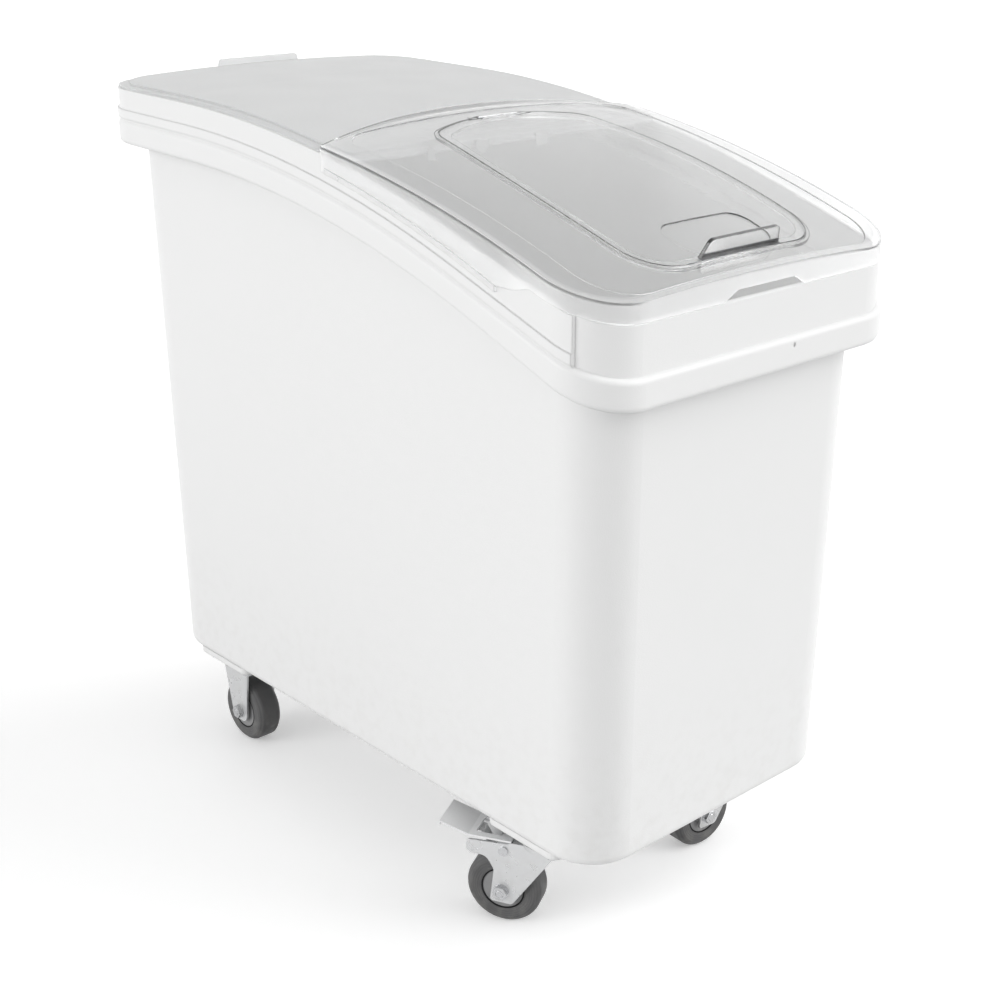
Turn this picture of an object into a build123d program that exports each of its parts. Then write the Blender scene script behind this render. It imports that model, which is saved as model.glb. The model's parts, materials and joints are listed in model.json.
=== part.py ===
from build123d import *
from math import asin, atan2, cos, degrees, radians, sin, sqrt, tan
import os

# Mobile ingredient bin, in millimetres. +Z is up, the sloping front faces -Y, X runs across
# the width. The origin lies on the floor, under the middle of the rim flange.

# Tub
flange_length = 749.0
flange_width = 405.6
flange_corner = 55.0
flange_drop = 25.0
flange_wall = 3.6
flange_front_angle = 20.5
flange_end_overhang = 26.35
flange_side_overhang = 30.25
base_length = flange_length - 2 * flange_end_overhang
base_width = flange_width - 2 * flange_side_overhang
base_corner = 50.8
base_height = 114.2
side_taper = 0.012
tub_wall = 4.0
floor_wall = 4.6
base_round = 9.0
collar_wall = 4.0
side_collar_inset = 2.0
front_collar_inset = 5.0
collar_step_inset = 35.5
collar_step_y = -flange_length / 2 + collar_step_inset
ledge_proud = 1.5
groove_half = 1.6
gate_mark_radius = 1.9
gate_mark_depth = 1.2
gate_mark_drop = 6.1
gate_mark_x = 40.0

# Side view of the rim: a straight rear run, one arc and a straight front run
ledge_rear_height = 737.0
ledge_rear_angle = 1.39
ledge_bend_y = 213.0
ledge_radius = 1385.0
ledge_front_angle = 18.92
ledge_height = 12.6
rim_rise = 18.7
rim_rear_height = ledge_rear_height + rim_rise
rim_rear_angle = 1.05
rim_bend_y = 221.0
rim_radius = 1531.0
rim_front_angle = 17.74

# Rear lid
rear_lid_wall = 2.4
rear_lid_inset = 1.2
rear_lid_step = 11.0
rear_lid_rise = 1.7
rear_lid_crown = 5.6
rear_lid_skirt = 10.0
rear_lid_front_y = -58.0
rear_lid_front_corner = 12.0
seat_gap = 0.3
pull_tab_width = 103.0
pull_tab_height = 5.2
pull_tab_wall = 2.8
hook_drop = 9.0
hook_wall = 3.0
peg_x = -103.0
round_hook_x = -41.5
square_hook_x = 35.5
hook_width = 16.0

# Front lid
front_lid_wall = 2.6
front_lid_side_overhang = 1.4
front_lid_front_inset = 3.5
front_lid_half_width = flange_width / 2 + front_lid_side_overhang
front_lid_front_y = -flange_length / 2 + front_lid_front_inset
front_lid_corner = 62.0
front_lid_rear_y = -21.0
front_lid_rear_bow = 30.0
front_lid_rear_corner = 5.0
lid_edge_centre_y = 170.0
lid_edge_crest = 12.3
lid_edge_radius = 1474.3
lid_edge_centre_z = ledge_rear_height + lid_edge_crest - lid_edge_radius
lid_spine_centre_y = 185.4
lid_spine_crest = 27.0
lid_spine_radius = 1474.0
lid_spine_centre_z = ledge_rear_height + lid_spine_crest - lid_spine_radius
panel_inset = 27.0
panel_front_inset = 7.0
panel_front_corner = 46.0
panel_rear_y = -16.0
panel_rear_corner = 28.0
panel_depth = 0.8
rear_lip_clearance = 1.8
guide_lip_height = 5.0
guide_lip_depth = 0.9
guide_lip_gap = 7.0
guide_front_y = -256.0
guide_step = 22.0
notch_left = -53.0
notch_right = 55.0
notch_ramp = 15.0
notch_height = 8.5
stop_nub_y = -48.0
stop_nub_radius = 1.8

# Door in the front lid
door_front_border = 27.0
door_front_y = front_lid_front_y + door_front_border
door_front_half = 110.0
door_front_corner = 44.0
door_widest_half = 113.0
door_widest_y = -200.0
door_rear_y = -31.5
door_rear_half = 95.0
door_rear_bow = 22.0
door_rear_corner = 24.0
door_wall = 2.6
door_gap = 0.9
door_under_gap = 0.6
door_seat = 9.0
door_seat_wall = 2.0
door_barrel_radius = 2.2
door_barrel_half = 26.0
door_barrel_room = 0.7
door_pin_radius = 1.1
door_pin_half = 34.0
door_lug_gap = 1.5
handle_height = 17.0
handle_base_width = 102.0
handle_top_width = 89.0
handle_wall = 3.4
handle_inset = 2.2
grip_dish_half_width = 54.0
grip_dish_length = 48.0
grip_dish_depth = 1.0
grip_dish_corner = 18.0

# Casters
wheel_radius = 38.1
wheel_width = 30.0
wheel_shoulder = 5.0
ring_radius = 21.5
ring_width = 1.5
ring_depth = 1.6
hub_recess = 1.2
front_caster_side_inset = 42.85
front_caster_end_inset = 97.95
rear_caster_side_inset = 42.45
rear_caster_end_inset = 91.65
front_caster_x = base_width / 2 - front_caster_side_inset
front_caster_y = -base_length / 2 + front_caster_end_inset
rear_caster_x = base_width / 2 - rear_caster_side_inset
rear_caster_y = base_length / 2 - rear_caster_end_inset
trail = 42.0
left_trail_angle = 118.9
right_trail_angle = 176.2
fork_gap = 2.0
fork_wall = 2.5
plate_wall = 2.8
plate_width = 64.0
plate_length = 82.0
plate_corner = 6.0
pad_margin = 7.0
pad_height = 6.0
bolt_spacing_x = 52.0
bolt_spacing_y = 64.0
bolt_radius = 3.0
bolt_clearance = 0.25
bolt_head_radius = 6.8
bolt_head_height = 2.6
bolt_head_room = 0.8
bolt_head_sink = 0.2
nut_across_flats = 10.0
nut_height = 5.0
bolt_end = 0.6
kingpin_radius = 5.0
kingpin_head_radius = 9.0
kingpin_head_height = 2.8
running_fit = 0.06
crown_radius = 27.0
crown_top = 94.4
race_radius = 21.5
ball_ring_radius = 2.0
axle_radius = 4.0
sleeve_radius = 6.0
axle_nut_flats = 13.0
axle_nut_height = 5.4
pivot_u = 39.7
pivot_z = 84.3
pivot_radius = 3.0
pivot_head_radius = 4.8
lever_wall = 2.0
lever_half_width = 20.5
lever_front_u = 31.0
lever_crease_u = 76.0
lever_tip_u = 104.0
lever_rise = 9.0
lever_lift = 0.6
spring_width = 14.0
ear_inset = 0.7
ear_radius = 6.0

wide = 260.0
tall = ledge_rear_height + 123.0


class SideLine:
    """An edge seen from the side: straight at the rear, an arc, then straight to the front."""

    def __init__(self, rear_height, rear_angle, bend_y, radius, front_angle):
        self.rear = radians(rear_angle)
        self.front = radians(front_angle)
        self.radius = radius
        self.bend_y = bend_y
        self.bend_z = rear_height - (flange_length / 2 - bend_y) * tan(self.rear)
        self.centre_y = bend_y + radius * sin(self.rear)
        self.centre_z = self.bend_z - radius * cos(self.rear)
        self.turn_y = self.centre_y - radius * sin(self.front)
        self.turn_z = self.centre_z + radius * cos(self.front)

    def height(self, y):
        if y >= self.bend_y:
            return self.bend_z + (y - self.bend_y) * tan(self.rear)
        if y >= self.turn_y:
            return self.centre_z + sqrt(self.radius**2 - (y - self.centre_y) ** 2)
        return self.turn_z - (self.turn_y - y) * tan(self.front)

    def edges(self, lift, low_y=-430.0, high_y=430.0):
        """The line from high_y to low_y, raised by lift."""
        middle = (self.rear + self.front) / 2
        start = Vector(0, high_y, self.height(high_y) + lift)
        bend = Vector(0, self.bend_y, self.bend_z + lift)
        crest = Vector(
            0,
            self.centre_y - self.radius * sin(middle),
            self.centre_z + self.radius * cos(middle) + lift,
        )
        turn = Vector(0, self.turn_y, self.turn_z + lift)
        end = Vector(0, low_y, self.height(low_y) + lift)
        return [
            Edge.make_line(start, bend),
            Edge.make_three_point_arc(bend, crest, turn),
            Edge.make_line(turn, end),
        ]


class Circle2:
    """A plain circular edge seen from the side."""

    def __init__(self, centre_y, centre_z, radius):
        self.centre_y = centre_y
        self.centre_z = centre_z
        self.radius = radius

    def height(self, y):
        return self.centre_z + sqrt(self.radius**2 - (y - self.centre_y) ** 2)

    def edges(self, lift, low_y=-430.0, high_y=60.0):
        grown = self.radius + lift
        points = [
            Vector(0, y, self.centre_z + sqrt(grown**2 - (y - self.centre_y) ** 2))
            for y in (high_y, (low_y + high_y) / 2, low_y)
        ]
        return [Edge.make_three_point_arc(*points)]


def side_face(line, lift, floor):
    """The face in the YZ plane between a side line and a level floor."""
    top = line.edges(lift)
    first = top[0] @ 0
    last = top[-1] @ 1
    down = Edge.make_line(last, Vector(0, last.Y, floor))
    along = Edge.make_line(Vector(0, last.Y, floor), Vector(0, first.Y, floor))
    up = Edge.make_line(Vector(0, first.Y, floor), first)
    return Face(Wire(top + [down, along, up]))


def under(line, lift=0.0, floor=60.0):
    """All the room below a side line, straight across the width."""
    return extrude(side_face(line, lift, floor), amount=wide, dir=(1, 0, 0), both=True)


def under_crown(line, lift, crown, half_width, floor=400.0):
    """All the room below a side line that is crowned: highest in the middle of the width."""
    crown_radius_x = (half_width**2 + crown**2) / (2 * crown)
    middle_height = line.height(line.centre_y)
    axis = Axis((0, 0, middle_height + crown - crown_radius_x), (0, 1, 0))
    half_turn = degrees(asin(wide / crown_radius_x))
    face = side_face(line, lift + crown, floor).rotate(axis, -half_turn)
    return revolve(face, axis=axis, revolution_arc=2 * half_turn)


def between(line, low, high):
    """The band of room between two lifts of one side line."""
    return under(line, high) - under(line, low, floor=50.0)


def rounded_block(half_width, front_y, rear_y, corner, low=60.0, high=tall):
    """An upright block with a rounded rectangle for its plan."""
    outline = RectangleRounded(2 * half_width, rear_y - front_y, corner)
    place = Pos(0, (front_y + rear_y) / 2, low)
    return extrude(place * outline, amount=high - low)


def cut_block(low_y, high_y, low=40.0, high=tall + 40.0):
    """A plain block across the whole width between two places along Y."""
    return Pos(0, (low_y + high_y) / 2, (low + high) / 2) * Box(2 * wide, high_y - low_y, high - low)


def upright(outline, middle_y, thickness):
    """A flat plate facing the front, its outline given in X and Z."""
    return Pos(0, middle_y, 0) * extrude(Plane.XZ * outline, amount=thickness / 2, both=True)


ledge = SideLine(ledge_rear_height, ledge_rear_angle, ledge_bend_y, ledge_radius, ledge_front_angle)
flange_edge = SideLine(ledge_rear_height, ledge_rear_angle, ledge_bend_y, ledge_radius, flange_front_angle)
rim =SideLine(rim_rear_height, rim_rear_angle, rim_bend_y, rim_radius, rim_front_angle)
lid_edge = Circle2(lid_edge_centre_y, lid_edge_centre_z, lid_edge_radius)
lid_spine = Circle2(lid_spine_centre_y, lid_spine_centre_z, lid_spine_radius)
half_flange_x = flange_width / 2
half_flange_y = flange_length / 2


def tub_body(inset):
    """The tapered body, from the base up past the rim, drawn in by a wall."""
    grow = side_taper * (tall - base_height)
    low = Pos(0, 0, base_height) * RectangleRounded(
        base_width - 2 * inset, base_length - 2 * inset, base_corner - inset
    )
    high = Pos(0, 0, tall) * RectangleRounded(
        base_width + 2 * (grow - inset), base_length + 2 * (grow - inset), base_corner - inset
    )
    return loft([low, high], ruled=True)


def collar_block(inset):
    """The upright collar above the flange: wide along the sides, drawn in round the front."""
    side = side_collar_inset + inset
    front = front_collar_inset + inset
    wide_part = rounded_block(
        half_flange_x - side, -half_flange_y + side, half_flange_y - side, flange_corner - side
    ) & cut_block(collar_step_y, half_flange_y + 20)
    front_part = rounded_block(
        half_flange_x - front, -half_flange_y + front, half_flange_y - front - 60, flange_corner - front
    ) & cut_block(-half_flange_y - 20, collar_step_y + 30)
    return wide_part + front_part


def caster_places():
    """Middle of each caster's mounting plate, left and right, front and rear."""
    return [
        (side * x, y)
        for x, y in ((front_caster_x, front_caster_y), (rear_caster_x, rear_caster_y))
        for side in (-1, 1)
    ]


def bolt_places():
    return [
        (x + i * bolt_spacing_x / 2, y + j * bolt_spacing_y / 2)
        for x, y in caster_places()
        for i in (-1, 1)
        for j in (-1, 1)
    ]


def make_tub():
    groove_low = -ledge_height
    body = tub_body(0) & under(ledge, groove_low)
    base_edges = body.edges().group_by(Axis.Z)[0]
    body = fillet(base_edges, base_round)
    shelf = rounded_block(half_flange_x, -half_flange_y, half_flange_y, flange_corner)
    shelf = shelf & (under(ledge, groove_low) - under(flange_edge, groove_low - flange_drop, floor=50.0))
    rims = [e for e in shelf.edges() if abs(e.tangent_at(0.5).Z) < 0.9]
    shelf = fillet(rims, 5.0)
    hollow = rounded_block(
        half_flange_x - flange_wall,
        -half_flange_y + flange_wall,
        half_flange_y - flange_wall,
        flange_corner - flange_wall,
    ) & under(ledge, groove_low - flange_wall)
    shelf = shelf - hollow
    collar = collar_block(0) & (under(rim) - under(ledge, groove_low - flange_wall, floor=50.0))
    bead = rounded_block(
        half_flange_x - side_collar_inset + ledge_proud,
        -half_flange_y + side_collar_inset,
        half_flange_y - side_collar_inset + ledge_proud,
        flange_corner - side_collar_inset,
    )
    bead = bead & between(ledge, groove_low + groove_half, -groove_half)
    bead = bead & cut_block(collar_step_y, half_flange_y + 20)
    shell = body + shelf + collar + bead
    inside = tub_body(tub_wall) & cut_block(-400, 400, base_height + floor_wall, tall)
    inside = fillet(inside.edges().group_by(Axis.Z)[0], base_round - tub_wall)
    shell = shell - inside
    shell = shell - (collar_block(collar_wall) & (under(rim, 40.0) - under(ledge, groove_low, floor=50.0)))
    for x, y in caster_places():
        pad = RectangleRounded(plate_width + 2 * pad_margin, plate_length + 2 * pad_margin, plate_corner + 4)
        shell = shell + extrude(Pos(x, y, base_height - pad_height) * pad, amount=pad_height + 1)
    hole = bolt_radius + bolt_clearance
    sunk = bolt_head_height + bolt_head_sink
    for x, y in bolt_places():
        shell = shell - Pos(x, y, base_height) * Cylinder(hole, 60)
        shell = shell - Pos(x, y, base_height + floor_wall) * Cylinder(bolt_head_radius + bolt_head_room, 2 * sunk)
    mark = Pos(gate_mark_x, -half_flange_y, ledge.height(-half_flange_y) - ledge_height - gate_mark_drop)
    return shell - mark * Rot(90, 0, 0) * Cylinder(gate_mark_radius, 2 * gate_mark_depth)


def rear_lid_plan(inset, low, high):
    """Plan of the rear lid as an upright block: round rear corners, a straight front edge."""
    edge = side_collar_inset + rear_lid_inset + inset
    front_y = rear_lid_front_y + inset
    rear_y = half_flange_y - edge
    half = half_flange_x - edge
    whole = rounded_block(half, front_y - 80, rear_y, flange_corner - edge, low, high)
    nose = rounded_block(half, front_y, rear_y - 80, rear_lid_front_corner, low, high)
    return (whole & cut_block(front_y + 40, rear_y + 10)) + nose


def rear_lid_dome(lift):
    """All the room below the rear lid's crowned top, raised by lift."""
    top = rear_lid_wall + seat_gap + rear_lid_rise
    return under_crown(rim, top + lift, rear_lid_crown, half_flange_x - rear_lid_step)


def make_rear_lid():
    top = rear_lid_wall + seat_gap
    flange = rear_lid_plan(0, 500, tall) & between(rim, seat_gap, top)
    hat = rear_lid_plan(rear_lid_step, 500, tall) & rear_lid_dome(0)
    hat = hat - under(rim, -rear_lid_skirt, floor=50.0)
    lid = flange + hat
    lid = lid - (rear_lid_plan(rear_lid_step + rear_lid_wall, 400, tall) & rear_lid_dome(-rear_lid_wall))
    front_end = rear_lid_front_y + rear_lid_step + rear_lid_wall + 1
    lid = lid - (cut_block(rear_lid_front_y - 5, front_end) & under(rim, seat_gap, floor=50.0))
    rear_y = half_flange_y - side_collar_inset - rear_lid_inset
    tab_low = rim.height(rear_y) + top - 0.6
    tab_high = rim.height(rear_y) + top + rear_lid_rise + rear_lid_crown + pull_tab_height
    tab = Polygon(
        (-pull_tab_width / 2 - 3, tab_low),
        (pull_tab_width / 2 + 3, tab_low),
        (pull_tab_width / 2, tab_high),
        (-pull_tab_width / 2, tab_high),
        align=None,
    )
    tab = fillet(tab.vertices().group_by(Axis.Y)[-1], 4.0)
    lid = lid + upright(tab, rear_y - pull_tab_wall / 2, pull_tab_wall)
    hook_y = rear_lid_front_y + hook_wall / 2
    low = rim.height(hook_y) + seat_gap - hook_drop + rear_lid_wall
    high = low + hook_drop + rear_lid_rise + 1.5
    half = hook_width / 2
    peg = Polygon(
        (peg_x - 5, low), (peg_x + 5, low), (peg_x, high), (peg_x - 5, high), align=None
    )
    round_hook = Pos(round_hook_x, (low + high) / 2) * Rectangle(hook_width, high - low)
    round_hook = fillet(round_hook.vertices().group_by(Axis.Y)[0], half - 0.4)
    square_hook = Pos(square_hook_x, (low + high) / 2) * Rectangle(hook_width, high - low)
    square_hook = fillet(square_hook.vertices().group_by(Axis.Y)[0], 1.5)
    for outline in (peg, round_hook, square_hook):
        lid = lid + upright(outline, hook_y, hook_wall)
    return lid


def lid_arch(y):
    """Section of the room under the front lid at one place: an arch over its two side edges."""
    crown = lid_spine.height(y) - lid_edge.height(y)
    radius = (front_lid_half_width**2 + crown**2) / (2 * crown)
    middle = lid_spine.height(y)
    side = middle - (radius - sqrt(radius**2 - wide**2))
    left = Vector(-wide, y, side)
    right = Vector(wide, y, side)
    low_left = Vector(-wide, y, 400)
    low_right = Vector(wide, y, 400)
    arch = Edge.make_three_point_arc(left, Vector(0, y, middle), right)
    walls = [
        Edge.make_line(right, low_right),
        Edge.make_line(low_right, low_left),
        Edge.make_line(low_left, left),
    ]
    return Face(Wire([arch] + walls))


lid_form = loft([lid_arch(y) for y in (60, -30, -110, -190, -270, -350, -430)])


def lid_room(drop):
    """All the room below the front lid's crowned top, lowered by drop."""
    return Pos(0, 0, -drop) * lid_form


def block_of(lines, front_corner, rear_corner, low=380.0):
    """An upright block over a closed outline, its front and rear corners rounded."""
    outline = Sketch() + Face(Wire(lines))
    outline = fillet(outline.vertices().sort_by(Axis.Y)[:2], front_corner)
    outline = fillet(outline.vertices().sort_by(Axis.Y)[-2:], rear_corner)
    return extrude(Pos(0, 0, low) * outline, amount=tall - low)


def front_lid_plan(inset, rear_inset):
    """Plan of the front lid, drawn in by inset, its rear edge bowed to the rear."""
    half = front_lid_half_width - inset
    front_y = front_lid_front_y + inset
    rear_y = front_lid_rear_y - rear_inset
    lines = [
        Edge.make_three_point_arc(
            Vector(half, rear_y, 0), Vector(0, rear_y + front_lid_rear_bow, 0), Vector(-half, rear_y, 0)
        ),
        Edge.make_line(Vector(-half, rear_y, 0), Vector(-half, front_y, 0)),
        Edge.make_line(Vector(-half, front_y, 0), Vector(half, front_y, 0)),
        Edge.make_line(Vector(half, front_y, 0), Vector(half, rear_y, 0)),
    ]
    return block_of(lines, front_lid_corner - inset, front_lid_rear_corner)


def panel_plan(grow):
    """Plan of the sunken panel inside the front lid's border."""
    half = front_lid_half_width - panel_inset + grow
    front_y = front_lid_front_y + panel_front_inset - grow
    rear_y = panel_rear_y + grow
    corners = [(-half, rear_y), (-half, front_y), (half, front_y), (half, rear_y)]
    points = [Vector(x, y, 0) for x, y in corners]
    lines = [Edge.make_line(a, b) for a, b in zip(points, points[1:] + points[:1])]
    return block_of(lines, panel_front_corner + grow, panel_rear_corner + grow)


def skirt_floor():
    """Everything below the lower edge of the front lid's skirt."""
    lip_line = Circle2(ledge.centre_y, ledge.centre_z, ledge_radius + guide_lip_gap)
    step_z = lip_line.height(guide_front_y) + guide_lip_height
    rest = rim.height(front_lid_front_y + 4) + seat_gap + 0.3
    meet_y = guide_front_y - guide_step
    rear = lip_line.edges(0.0, guide_front_y, 60.0)
    corner = Vector(0, guide_front_y, step_z)
    shelf = Vector(0, meet_y, step_z)
    ease = Vector(0, meet_y - 18, rim.height(meet_y - 18) + seat_gap + 0.6)
    near = Vector(0, front_lid_front_y + 22, rim.height(front_lid_front_y + 22) + seat_gap + 0.3)
    front = Vector(0, front_lid_front_y + 4, rest)
    end = Vector(0, -430, rest)
    points = [corner, shelf, ease, near, front, end, Vector(0, -430, 300), Vector(0, 60, 300), rear[0] @ 0]
    lines = [Edge.make_line(rear[0] @ 1, corner)]
    lines += [Edge.make_line(a, b) for a, b in zip(points[:-1], points[1:])]
    return extrude(Face(Wire(rear + lines)), amount=wide, dir=(1, 0, 0), both=True)


def door_plan(inset, low=380.0):
    """Plan of the door: a bowed rear edge, bowed sides and a straight front, drawn in by inset."""
    front_y = door_front_y + inset
    front_x = door_front_half - inset
    wide_x = door_widest_half - inset
    rear_x = door_rear_half - inset
    rear_y = door_rear_y - inset
    corner_y = rear_y - door_rear_bow
    lines = [
        Edge.make_three_point_arc(Vector(rear_x, corner_y, 0), Vector(0, rear_y, 0), Vector(-rear_x, corner_y, 0)),
        Edge.make_three_point_arc(
            Vector(-rear_x, corner_y, 0), Vector(-wide_x, door_widest_y, 0), Vector(-front_x, front_y, 0)
        ),
        Edge.make_line(Vector(-front_x, front_y, 0), Vector(front_x, front_y, 0)),
        Edge.make_three_point_arc(
            Vector(front_x, front_y, 0), Vector(wide_x, door_widest_y, 0), Vector(rear_x, corner_y, 0)
        ),
    ]
    return block_of(lines, door_front_corner - inset, door_rear_corner - inset, low)


def door_axis():
    """Middle of the door's hinge, along its rear edge and level with its wall."""
    y = door_rear_y - door_wall / 2
    return y, lid_spine.height(y) - panel_depth - door_wall / 2


def guide_strip(side):
    """Rounded rail along the lower edge of the skirt, on one side."""
    line = Circle2(ledge.centre_y, ledge.centre_z, ledge_radius + guide_lip_gap)
    strip = under(line, guide_lip_height, 300.0) - under(line, 0.0, 290.0)
    middle_x = side * (front_lid_half_width + guide_lip_depth / 2 - 0.5)
    strip = strip & (Pos(middle_x, 0, 0) * Box(guide_lip_depth + 1.0, 2000, 2000))
    return strip & cut_block(guide_front_y, front_lid_rear_y - 8)


def finger_notch():
    """Cut under the front edge of the skirt, where the fingers lift the lid."""
    low = rim.height(front_lid_front_y) - 4
    step = rim.height(front_lid_front_y + 4) + seat_gap + 0.3
    notch = Polygon(
        (notch_left, low),
        (notch_right, low),
        (notch_right, step),
        (notch_right - notch_ramp, step + notch_height),
        (notch_left + notch_ramp + 3, step + notch_height),
        (notch_left, step),
        align=None,
    )
    return upright(notch, front_lid_front_y, 30)


def make_front_lid():
    wall = front_lid_wall
    seat = panel_depth + door_wall + door_under_gap
    pan = door_plan(-door_gap - wall) - lid_room(seat + door_seat_wall)
    cave = (front_lid_plan(wall, wall) & lid_room(wall + panel_depth)) - pan
    lid = (front_lid_plan(0, 0) & lid_room(0)) - cave
    lid = lid - (front_lid_plan(wall, -40) & rear_lid_dome(rear_lip_clearance) & cut_block(-120, 60))
    lid = lid - (panel_plan(0) - lid_room(panel_depth))
    lid = lid - (door_plan(-door_gap) - lid_room(seat))
    lid = lid - door_plan(door_seat)
    lid = lid - skirt_floor()
    for side in (-1, 1):
        lid = lid + guide_strip(side)
        nub_z = ledge.height(stop_nub_y) + guide_lip_gap + guide_lip_height / 2
        nub = Pos(side * (front_lid_half_width + guide_lip_depth / 2), stop_nub_y, nub_z)
        lid = lid + nub * Rot(0, 90, 0) * Cylinder(stop_nub_radius, guide_lip_depth + 0.8)
    axis_y, axis_z = door_axis()
    along = Pos(0, axis_y, axis_z) * Rot(0, 90, 0)
    lid = lid - along * Cylinder(door_barrel_radius + door_barrel_room, 2 * door_barrel_half + 2 * door_lug_gap)
    lug_length = door_pin_half + 1.5 - door_barrel_half - door_lug_gap
    for side in (-1, 1):
        lug_x = side * (door_barrel_half + door_lug_gap + lug_length / 2)
        lug = Pos(lug_x, axis_y, axis_z - 0.75) * Box(lug_length, 6.4, 4.9)
        lid = lid + (lug & lid_room(0.6))
    lid = lid - along * Cylinder(door_pin_radius + 0.02, 2 * door_pin_half)
    return lid - finger_notch()


def make_door():
    axis_y, axis_z = door_axis()
    door = door_plan(0) & (lid_room(panel_depth) - lid_room(panel_depth + door_wall))
    relief = Pos(0, axis_y, axis_z) * Box(2 * door_pin_half + 12, 4 * door_barrel_radius, 30)
    door = door - relief
    along = Pos(0, axis_y, axis_z) * Rot(0, 90, 0)
    web_length = 3 * door_barrel_radius
    web = Pos(0, axis_y - door_barrel_radius - web_length / 2 + 1.0, axis_z)
    door = door + along * Cylinder(door_barrel_radius, 2 * door_barrel_half)
    door = door + web * Box(2 * door_barrel_half, web_length, door_wall - 0.4)
    door = door - along * Cylinder(door_pin_radius + running_fit, 4 * door_pin_half)
    dish = RectangleRounded(2 * grip_dish_half_width, grip_dish_length, grip_dish_corner)
    dish_y = door_front_y + handle_inset + handle_wall + grip_dish_length / 2 + 1.5
    dish = extrude(Pos(0, dish_y, lid_spine.height(dish_y) - 60) * dish, amount=120)
    dish = dish - lid_room(panel_depth + grip_dish_depth)
    door = door - dish
    grip = Polygon(
        (-handle_base_width / 2, -0.8),
        (handle_base_width / 2, -0.8),
        (handle_top_width / 2, handle_height),
        (-handle_top_width / 2, handle_height),
        align=None,
    )
    grip = fillet(grip.vertices().group_by(Axis.Y)[-1], 6.0)
    root_y = door_front_y + handle_inset + handle_wall / 2
    slope = (lid_spine.height(root_y + 5) - lid_spine.height(root_y - 5)) / 10
    root = Pos(0, root_y, lid_spine.height(root_y) - panel_depth - 0.6) * Rot(degrees(atan2(slope, 1)), 0, 0)
    return door + root * upright(grip, 0, handle_wall)


def hexagon(flats, height):
    return extrude(RegularPolygon(flats / 2, 6, major_radius=False), amount=height)


def across(shape):
    """Turns a shape built along Z so that it lies along the wheel's axle."""
    return Rot(-90, 0, 0) * shape


plate_top = base_height - pad_height
plate_low = plate_top - plate_wall
fork_inner = wheel_width / 2 + fork_gap
fork_outer = fork_inner + fork_wall


def make_tyre():
    half = wheel_width / 2
    profile = Polygon(
        (ring_radius + ring_width / 2 + 0.1, -half + 0.6),
        (wheel_radius - wheel_shoulder, -half),
        (wheel_radius, -half + wheel_shoulder),
        (wheel_radius, half - wheel_shoulder),
        (wheel_radius - wheel_shoulder, half),
        (ring_radius + ring_width / 2 + 0.1, half - 0.6),
        align=None,
    )
    corners = [v for v in profile.vertices() if v.X > wheel_radius - wheel_shoulder - 1]
    profile = fillet(corners, wheel_shoulder * 0.8)
    return across(revolve(Plane.XZ * profile, axis=Axis.Z))


def make_wheel_core():
    half = wheel_width / 2
    bore = sleeve_radius + running_fit
    edge = ring_radius + ring_width / 2
    inner = ring_radius - ring_width / 2
    profile = Polygon(
        (bore, -half - 1.4),
        (bore + 4.5, -half - 1.4),
        (bore + 5.5, -half + hub_recess),
        (inner, -half + hub_recess),
        (inner, -half + 0.6 + ring_depth),
        (edge, -half + 0.6 + ring_depth),
        (edge, half - 0.6 - ring_depth),
        (inner, half - 0.6 - ring_depth),
        (inner, half - hub_recess),
        (bore + 5.5, half - hub_recess),
        (bore + 4.5, half + 1.4),
        (bore, half + 1.4),
        align=None,
    )
    return across(revolve(Plane.XZ * profile, axis=Axis.Z))


def make_bearing_rings():
    half = wheel_width / 2
    ring = Cylinder(ring_radius + ring_width / 2 - 0.05, ring_depth) - Cylinder(
        ring_radius - ring_width / 2 + 0.05, ring_depth
    )
    offset = half - 0.55 - ring_depth / 2
    return [across(Pos(0, 0, side * offset) * ring) for side in (-1, 1)]


def make_sleeve():
    tube = Cylinder(sleeve_radius, 2 * fork_inner) - Cylinder(axle_radius + 0.05, 2 * fork_inner)
    return across(tube)


def make_axle_bolt():
    """Bolt through both legs, its head on the -Y side and its end past the nut."""
    reach = fork_outer + axle_nut_height + bolt_end
    shank = Pos(0, 0, (reach - fork_outer) / 2) * Cylinder(axle_radius, reach + fork_outer)
    shank = chamfer(shank.edges().group_by(Axis.Z)[-1], 0.7)
    head = Pos(0, 0, -fork_outer - 5.0) * hexagon(axle_nut_flats, 5.0)
    return across(shank + head)


def make_axle_nut():
    nut = hexagon(axle_nut_flats, axle_nut_height)
    washer = Cylinder(axle_nut_flats / 2 + 1.6, 1.0, align=(Align.CENTER, Align.CENTER, Align.MIN))
    nut = (nut + washer) - Cylinder(axle_radius + 0.03, 60)
    return across(Pos(0, 0, fork_outer) * nut)


def leg_pair(points, corner_radii):
    """Two upright fork legs cut to one outline of (u, z) points, each corner rounded."""
    outline = Polygon(*points, align=None)
    for (u, z), radius in zip(points, corner_radii):
        if radius > 0:
            near = [v for v in outline.vertices() if abs(v.X - u) + abs(v.Y - z) < 0.5]
            outline = fillet(near, radius)
    middle = fork_inner + fork_wall / 2
    return upright(outline, middle, fork_wall) + upright(outline, -middle, fork_wall)


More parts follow.
